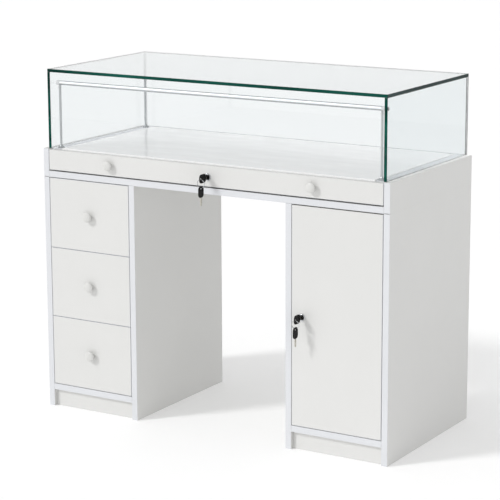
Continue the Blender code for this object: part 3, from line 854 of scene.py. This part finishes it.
def knobs():
    """Two knobs on the display drawer and one on each drawer below."""
    homes = {"display_knob_left": "display_drawer", "display_knob_right": "display_drawer"}
    for level in ("bottom", "middle", "top"):
        homes["drawer_knob_" + level] = "drawer_" + level
    for node, body in homes.items():
        low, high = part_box(node)
        centre = (low + high) / 2
        profile = knob_profile((high.x - low.x) / 2, high.y - low.y)
        piece = Piece(node + "_turned")
        piece.add(turned(profile), "knob", facing((0, -1, 0), (centre.x, high.y, centre.z)))
        piece.make(body, "knob_white", (node,))


def hexagon(radius):
    """The six corners of a nut."""
    return arc((0.0, 0.0), radius, 0, 300, 5)


def lock(name, panel_body, plug_body, cam_turn):
    """A cam lock: collar and barrel, nut behind the panel, slotted plug and cam."""
    low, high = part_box(name + "_lock_housing")
    face_y = low.y + COLLAR_LENGTH
    panel_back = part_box({"display": "display_front", "cupboard": "cupboard_door"}[name])[1].y
    centre = (low + high) / 2
    collar = (high.x - low.x) / 2
    barrel = collar * BARREL_SHARE
    depth = high.y - face_y
    out = facing((0, -1, 0), (centre.x, face_y, centre.z))
    profile = [(PLUG_BORE, COLLAR_LENGTH - LOCK_CHAMFER), (PLUG_BORE + LOCK_CHAMFER, COLLAR_LENGTH)]
    profile += arc((collar - COLLAR_ROUND, COLLAR_LENGTH - COLLAR_ROUND), COLLAR_ROUND, 90, 0, 6)
    profile += [(collar, FIT), (barrel, FIT), (barrel, -depth), (PLUG_BORE, -depth)]
    piece = Piece(name + "_lock_barrel")
    piece.add(turned(profile, closed=True), "steel", out)
    piece.make(panel_body, "steel", (name + "_lock_housing",))
    nut = Piece(name + "_lock_nut")
    hole = arc((0, 0), barrel + NUT_BORE_PLAY, 0, 345, 23)
    ring = plate([hexagon(NUT_RADIUS), hole], NUT_LENGTH, NUT_ARRIS, 1)
    nut.add(ring, "zinc", facing((0, 1, 0), (centre.x, panel_back + FIT + NUT_LENGTH / 2, centre.z)))
    nut.make(panel_body, "zinc")
    plug_low, plug_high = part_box(name + "_lock_plug")
    radius = PLUG_BORE - FIT
    tail = plug_high.y - face_y
    front = face_y - plug_low.y
    plug = Piece(name + "_plug")
    profile = [(0.0, front), (radius - PLUG_CHAMFER, front), (radius, front - PLUG_CHAMFER)]
    profile += [(radius, -tail), (0.0, -tail)]
    plug.add(turned(profile), "lock_face", out)
    blade_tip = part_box(name + "_key")[1].y
    slot = Piece(name + "_slot")
    slot.add(block((centre.x - KEYWAY_HALF_WIDTH, plug_low.y - FIT, centre.z - KEYWAY_HALF_HEIGHT),
                   (centre.x + KEYWAY_HALF_WIDTH, blade_tip + KEYWAY_SPARE,
                    centre.z + KEYWAY_HALF_HEIGHT)), "lock_face")
    settle(carve(plug.make(), [slot.make()]), plug_body, (name + "_lock_plug",))
    cam(name, centre, plug_low, plug_high, radius, plug_body, cam_turn)


def cam(name, centre, plug_low, plug_high, radius, body, turn):
    """The cam behind the plug: a plate with a round tip, held by a screw."""
    spans = (centre.x - plug_low.x, plug_high.x - centre.x, centre.z - plug_low.z, plug_high.z - centre.z)
    length = max(spans)
    tip = CAM_HALF_WIDTH * CAM_TIP_SHARE
    outline = arc((0, 0), CAM_HALF_WIDTH + CAM_EYE_EXTRA, 60, 300, 16)
    outline += arc((length - tip, 0), tip, -90, 90, 8)
    hole = arc((0, 0), radius + CAM_BORE_PLAY, 0, 337.5, 15)
    piece = Piece(name + "_cam")
    y = plug_high.y - FIT - CAM_THICKNESS / 2
    upright = Matrix.Translation((centre.x, y, centre.z)) @ Euler((math.pi / 2, 0, 0)).to_matrix().to_4x4()
    cam_plate = plate([outline, hole], CAM_THICKNESS, CAM_ARRIS, 1)
    piece.add(cam_plate, "zinc", upright @ Matrix.Rotation(turn, 4, "Z"))
    piece.add(screw_shape(SCREW_RADIUS), "zinc", facing((0, 1, 0), (centre.x, plug_high.y, centre.z)))
    piece.make(body, "zinc")


def screw_shape(radius):
    """A pan head with its edge rounded and a shallow round recess."""
    height = radius * 0.55
    profile = [(0.0, height * 0.45), (radius * 0.34, height * 0.55), (radius * 0.42, height)]
    profile += [(radius * (0.55 + 0.45 * math.sin(a)), height * (0.25 + 0.75 * math.cos(a)))
                for a in (math.radians(15 * i) for i in range(1, 7))]
    profile += [(radius, 0.0), (0.0, 0.0)]
    return turned(profile, TURNED_SMALL)


def bow_outline(start, end, half_width, inset=0.0):
    """A key's bow between two places along the key, drawn in by an inset."""
    radius = KEY_BOW_ROUND - inset
    low = start + KEY_BOW_ROUND
    high = end - KEY_BOW_ROUND
    side = half_width - KEY_BOW_ROUND
    outline = arc((low, -side), radius, 190, 270, 7) + arc((high, -side), radius, 270, 360, 8)
    return outline + arc((high, side), radius, 0, 90, 8) + arc((low, side), radius, 90, 170, 7)


def key_pieces(name, body, sizes, place, node):
    """A key lying in XY with its tip at -X: a moulded bow with a raised rim, and a milled blade."""
    reach, depth, half_width, thickness = sizes
    start = COLLAR_LENGTH + KEY_NECK
    hole = arc((reach - KEY_HOLE_INSET, 0.0), KEY_HOLE_RADIUS, 0, 345, 23)
    bow = Piece(name + "_bow")
    bow.add(plate([bow_outline(start, reach, half_width), hole], thickness, KEY_BOW_EDGE), "bow", place)
    bow = bow.make()
    end = reach - KEY_HOLE_INSET - KEY_HOLE_RADIUS + KEY_RIM / 2
    cutters = []
    for side in (-1, 1):
        level = Matrix.Translation((0, 0, side * (thickness / 2)))
        panel = Piece(name + "_panel")
        panel.add(plate([bow_outline(start, end, half_width, KEY_RIM)], KEY_PANEL_SINK * 2), "bow",
                  place @ level)
        cutters.append(panel.make())
    settle(carve(bow, cutters), body, (node,))
    half = BLADE_HALF_WIDTH
    tip = [(-depth, half / 3), (-depth, -half / 3), (-depth + half, -half), (start - FIT, -half),
           (start - FIT, half)]
    teeth = []
    pitch = depth * CUT_PITCH_SHARE
    for i, share in enumerate(CUTS):
        x = -FIT - i * pitch
        cut = half - share * CUT_DEPTH
        teeth += [(x, half), (x - pitch * 0.3, cut), (x - pitch * 0.6, cut)]
    teeth = [point for point in teeth if point[0] > -depth + half * 0.7]
    blade_thickness = thickness * BLADE_SHARE
    blade = Piece(name + "_blade")
    blade.add(plate([tip + teeth], blade_thickness, BLADE_EDGE, 1), "blade", place)
    blade = blade.make()
    grooves = []
    for side, offset in GROOVES:
        z = side * blade_thickness / 2
        groove = Piece(name + "_groove")
        groove.add(block((-depth - FIT, offset - GROOVE_HALF_WIDTH, z - GROOVE_HALF_DEPTH),
                         (start - GROOVE_END, offset + GROOVE_HALF_WIDTH, z + GROOVE_HALF_DEPTH)),
                   "blade", place)
        grooves.append(groove.make())
    settle(carve(blade, grooves), body)


def keys(name, plug_body, spare_body):
    """The key in the lock, a split ring through its bow and the spare key that hangs from it."""
    low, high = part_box(name + "_key")
    centre = (low + high) / 2
    lock_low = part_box(name + "_lock_housing")[0]
    face_y = lock_low.y + COLLAR_LENGTH
    sizes = (face_y - low.y, high.y - face_y, (high.z - low.z) / 2, high.x - low.x)
    reach, depth = sizes[:2]
    in_lock = Matrix.Translation((centre.x, face_y, centre.z))
    in_lock = in_lock @ Euler((math.pi / 2, 0, -math.pi / 2)).to_matrix().to_4x4()
    key_pieces(name + "_key", plug_body, sizes, in_lock, name + "_key")
    spare_low, spare_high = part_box(name + "_spare_key")
    hole_y = face_y - (reach - KEY_HOLE_INSET)
    spare_hole_z = spare_low.z + depth + reach - KEY_HOLE_INSET
    hanging = Matrix.Translation((centre.x, hole_y, spare_hole_z))
    hanging = hanging @ Euler((0, -math.pi / 2, 0)).to_matrix().to_4x4()
    hanging = hanging @ Matrix.Translation((-(reach - KEY_HOLE_INSET), 0, 0))
    key_pieces(name + "_spare", spare_body, sizes, hanging, name + "_spare_key")
    ring_z = spare_high.z - RING_RADIUS - RING_WIRE
    points = []
    for i in range(RING_STEPS + 1):
        share = i / RING_STEPS
        a = RING_START + 2 * math.pi * RING_TURNS * share
        drift = (share - 0.5) * 4 * RING_WIRE
        points.append((centre.x + RING_RADIUS * math.cos(a), hole_y + drift,
                       ring_z + RING_RADIUS * math.sin(a)))
    Piece(name + "_split_ring").add(wire(points, RING_WIRE), "steel").make(spare_body, "steel")


# Hinges, slides and inside hardware

def hinges():
    """Two pressed cups in the door, each with a screwed ear above and below, and their arms."""
    for level in ("lower", "upper"):
        low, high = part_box("hinge_cup_" + level)
        centre = (low + high) / 2
        depth = high.y - low.y
        rim = (high.x - low.x) / 2
        radius = rim - CUP_RIM
        inner = radius - PRESSED_METAL
        profile = [(0.0, depth), (radius - PRESSED_ROUND, depth), (radius, depth - PRESSED_ROUND),
                   (radius, PRESSED_METAL), (rim, PRESSED_METAL), (rim, PRESSED_ARRIS),
                   (rim - PRESSED_ARRIS, 0.0), (inner, 0.0), (inner, depth - PRESSED_METAL),
                   (0.0, depth - PRESSED_METAL)]
        cup = Piece("hinge_cup_" + level + "_pressed")
        cup.add(turned(profile), "zinc", facing((0, -1, 0), (centre.x, high.y, centre.z)))
        outline = rounded((-EAR[0], -EAR[1]), EAR, EAR_ROUND)
        for side in (-1, 1):
            z = centre.z + side * (rim + EAR_GAP)
            cup.add(plate([outline], PRESSED_METAL, PRESSED_ARRIS, 1), "zinc",
                    facing((0, 1, 0), (centre.x, high.y - PRESSED_METAL / 2, z)))
            cup.add(screw_shape(SCREW_RADIUS), "zinc", facing((0, 1, 0), (centre.x, high.y, z)))
        cup.make("cupboard_door", "zinc", ("hinge_cup_" + level,))
        hinge_arm(level)


def hinge_arm(level):
    """The arm on the side panel: a mounting plate, a folded channel over it and two screws."""
    low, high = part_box("hinge_arm_" + level)
    centre = (low + high) / 2
    half = (high.z - low.z) / 2
    length = high.y - low.y
    reach = high.x - low.x
    on_panel = Matrix.Translation((high.x, centre.y, centre.z)) @ Matrix(
        ((0, 0, -1, 0), (1, 0, 0, 0), (0, 1, 0, 0), (0, 0, 0, 1)))
    arm = Piece("hinge_arm_" + level + "_pressed")
    base = rounded((-length / 2, -half), (length / 2, half), half * 0.6)
    arm.add(plate([base], ARM_PLATE, ARM_PLATE_EDGE), "zinc",
            on_panel @ Matrix.Translation((0, 0, ARM_PLATE / 2)))
    outer = half * ARM_CHANNEL_SHARE
    inner = outer - ARM_METAL
    shoulder = reach - ARM_METAL * 2
    channel = [(-outer, ARM_PLATE), (-outer, shoulder), (-inner, reach), (inner, reach), (outer, shoulder),
               (outer, ARM_PLATE), (inner, ARM_PLATE), (inner, shoulder), (-inner, shoulder),
               (-inner, ARM_PLATE)]
    along = on_panel @ Matrix.Translation((-length / 2, 0, 0)) @ LENGTHWAYS
    arm.add(prism(channel, length * ARM_LENGTH_SHARE), "zinc", along)
    for share in ARM_SCREWS:
        seat = Matrix.Translation((length * share, 0, reach - ARM_SCREW_SINK - SCREW_RADIUS * 0.4))
        arm.add(screw_shape(SCREW_RADIUS * 0.9), "zinc", on_panel @ seat)
    arm.make("counter", "zinc", ("hinge_arm_" + level,))


def slide_member(name, body, runner, box_face, inward):
    """The moving half of a slide: a hat section on the drawer's side whose crown runs in the channel."""
    low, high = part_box(runner)
    z = (low.z + high.z) / 2
    half = (high.z - low.z) / 2 - SLIDE_PLAY
    depth = abs(box_face - (high.x if inward > 0 else low.x)) + SLIDE_PLAY
    crown = half * SLIDE_CROWN_SHARE
    t = SLIDE_METAL
    outline = [(0, -half), (t, -half), (t, -crown - t), (depth, -crown - t), (depth, crown + t),
               (t, crown + t), (t, half), (0, half), (0, crown), (depth - t, crown), (depth - t, -crown),
               (0, -crown)]
    place = Matrix.Translation((box_face, low.y, z)) @ Matrix(
        ((-inward, 0, 0, 0), (0, 0, 1, 0), (0, 1, 0, 0), (0, 0, 0, 1)))
    piece = Piece(name)
    piece.add(prism(outline, high.y - low.y - SLIDE_SHORT), "zinc", place)
    piece.make(body, "zinc")


def slides():
    """The moving halves of the six pedestal slides."""
    for level in ("bottom", "middle", "top"):
        box_low, box_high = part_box("drawer_box_" + level)
        for side, face, inward in (("left", box_low.x, 1), ("right", box_high.x, -1)):
            slide_member("slide_" + level + "_" + side, "drawer_" + level, "runner_" + level + "_" + side,
                         face - inward * SLIDE_GAP, inward)


def shelf_pins():
    """Four push-in pins carry the shelf."""
    low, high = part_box("cupboard_shelf")
    walls = (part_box("right_pedestal_inner_side")[1].x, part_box("right_pedestal_outer_side")[0].x)
    for side, x, inwards in (("left", walls[0], 1), ("right", walls[1], -1)):
        for end, y in (("front", low.y + PIN_PLACE), ("rear", high.y - PIN_PLACE)):
            piece = Piece("shelf_pin_" + side + "_" + end)
            piece.add(turned(PIN_PROFILE, TURNED_SMALL), "pin",
                      facing((inwards, 0, 0), (x, y, low.z - PIN_DROP)))
            piece.make("counter")


def strikes():
    """An angle plate on the cupboard's inner side that the cam turns behind."""
    centre = middle("cupboard_lock_plug")
    cam_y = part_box("cupboard_lock_plug")[1].y - FIT - CAM_THICKNESS
    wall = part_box("right_pedestal_inner_side")[1].x
    lock_z = middle("cupboard_lock_housing").z
    x = wall + FIT / 2
    t = STRIKE_METAL
    reach = (centre.x - wall) * STRIKE_REACH_SHARE
    outline = [(0, 0), (reach, 0), (reach, t), (t, t), (t, STRIKE_FLANGE), (0, STRIKE_FLANGE)]
    piece = Piece("cupboard_strike")
    piece.add(prism(outline, STRIKE_HEIGHT, STRIKE_ARRIS), "zinc",
              Matrix.Translation((x, cam_y - STRIKE_SETBACK, lock_z - STRIKE_HEIGHT / 2)))
    for side in (-1, 1):
        z = lock_z + side * STRIKE_HEIGHT * STRIKE_SCREW_SHARE
        piece.add(screw_shape(SCREW_RADIUS * 0.8), "zinc",
                  facing((1, 0, 0), (x + t, cam_y + STRIKE_SCREW_BACK, z)))
    piece.make("counter", "zinc")


def carried_over():
    """Gives each CAD node that stays in sight its material."""
    finishes = {"ledge_left": "band", "ledge_right": "band", "display_deck": "deck",
                "display_runner_left": "zinc", "display_runner_right": "zinc"}
    for level in ("bottom", "middle", "top"):
        finishes["drawer_box_" + level] = "drawer"
        for side in ("left", "right"):
            finishes["runner_" + level + "_" + side] = "zinc"
    for node, finish in finishes.items():
        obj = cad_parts[node]
        obj.data.materials.clear()
        obj.data.materials.append(MATERIALS[finish])


# Studio

def studio():
    """A pale floor, a soft sky and one sun. The floor isn't part of the counter."""
    low, high = cad_box
    mesh = bpy.data.meshes.new("studio_floor")
    shape = bmesh.new()
    bmesh.ops.create_circle(shape, cap_ends=True, segments=FLOOR_SIDES, radius=FLOOR_RADIUS)
    bmesh.ops.translate(shape, vec=(0, 0, low.z - FLOOR_DROP), verts=shape.verts)
    shape.to_mesh(mesh)
    shape.free()
    floor = bpy.data.objects.new("studio_floor", mesh)
    material = new_material("studio_floor", (0.93, 0.93, 0.93), 0.7, Specular_IOR_Level=0.2,
                            Emission_Color=(1.0, 1.0, 1.0, 1.0), Emission_Strength=FLOOR_GLOW)
    mesh.materials.append(material)
    bpy.context.scene.collection.objects.link(floor)
    world = bpy.data.worlds.new("studio")
    world.use_nodes = True
    tree = world.node_tree
    place = tree.nodes.new("ShaderNodeTexCoord")
    split = tree.nodes.new("ShaderNodeSeparateXYZ")
    tree.links.new(place.outputs["Generated"], split.inputs["Vector"])
    sky = colours_from(tree, split.outputs["Z"], [(height, (light,) * 3) for height, light in SKY])
    tree.links.new(sky, tree.nodes["Background"].inputs["Color"])
    bpy.context.scene.world = world
    lamp = bpy.data.lights.new("key", "SUN")
    lamp.angle = KEY_SOFTNESS
    lamp.energy = KEY_STRENGTH
    key = bpy.data.objects.new("key", lamp)
    key.location = (low.x, low.y, 2 * high.z)
    key.rotation_euler = Vector(KEY_DIRECTION).to_track_quat("-Z", "Y").to_euler()
    bpy.context.scene.collection.objects.link(key)
    bpy.context.scene.view_settings.view_transform = "Standard"


def camera():
    """The camera of the photo."""
    data = bpy.data.cameras.new("camera")
    data.lens = CAMERA_LENS
    data.sensor_width = CAMERA_SENSOR
    data.shift_y = CAMERA_SHIFT
    obj = bpy.data.objects.new("camera", data)
    turn = Euler((math.pi / 2 - CAMERA_TILT, 0.0, CAMERA_TURN)).to_matrix().to_4x4()
    obj.matrix_world = Matrix.Translation(CAMERA_PLACE) @ turn @ Matrix.Rotation(CAMERA_ROLL, 4, "Z")
    bpy.context.scene.collection.objects.link(obj)
    bpy.context.scene.camera = obj


camera()
studio()
boards()
panes()
light_tube()
posts()
knobs()
lock("display", "display_drawer", "display_plug", 0.0)
lock("cupboard", "cupboard_door", "cupboard_plug", -math.pi / 2)
keys("display", "display_plug", "display_spare")
keys("cupboard", "cupboard_plug", "cupboard_spare")
hinges()
slides()
shelf_pins()
strikes()
carried_over()
